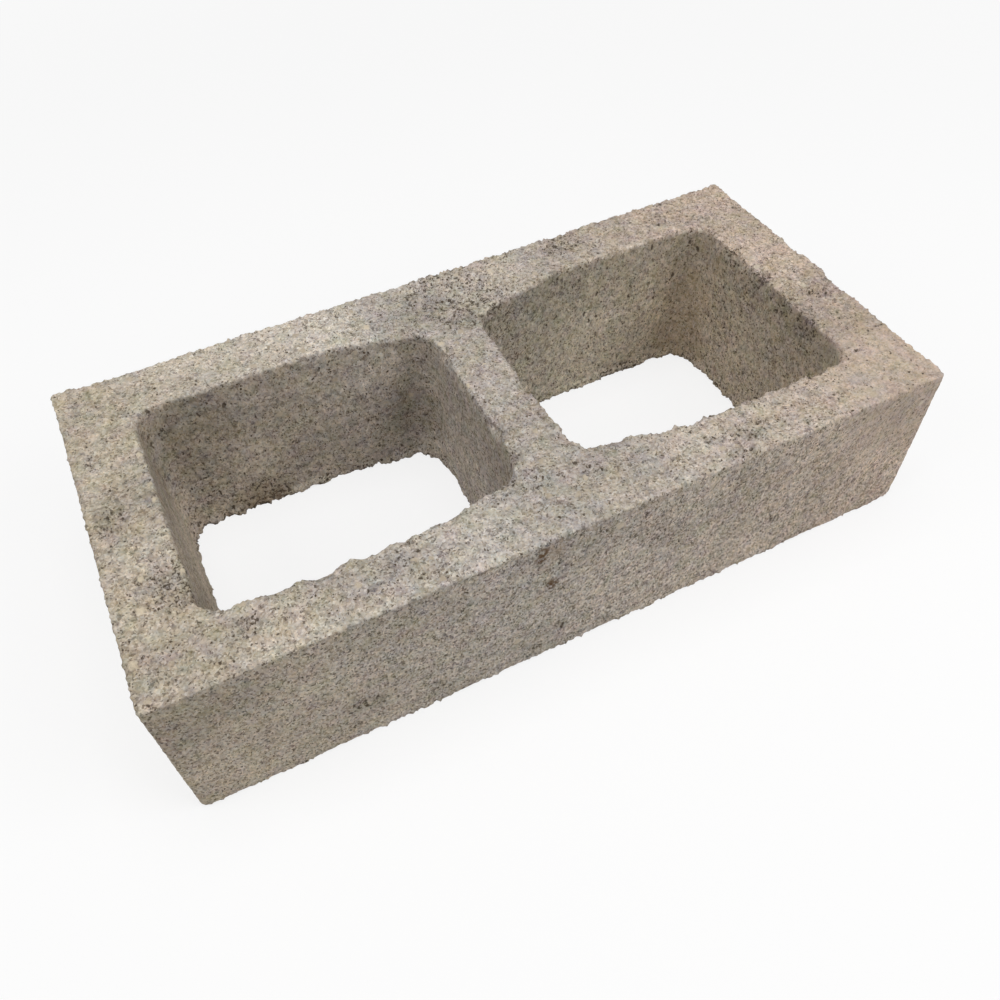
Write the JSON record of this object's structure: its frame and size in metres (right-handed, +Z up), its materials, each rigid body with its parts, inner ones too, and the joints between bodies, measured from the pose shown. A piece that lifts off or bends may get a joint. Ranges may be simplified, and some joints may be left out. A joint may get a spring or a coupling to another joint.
{
  "type": "half-high concrete block",
  "caption": "Half-high hollow concrete masonry block with plain flat ends, tapered open cores, flared face shells and a centre web.",
  "frame": {"origin": "middle of the underside, on the floor that the block rests on", "axes": "+X along the block's length, +Y across it towards the back face, +Z up through the cores"},
  "size_m": [0.3968, 0.1938, 0.0921],
  "materials": {
    "concrete": "rough open-textured dry-cast concrete with sand, pale pebbles and dark pores"
  },
  "bodies": {
    "root": {"concrete_block": "concrete"}
  },
  "joints": []
}
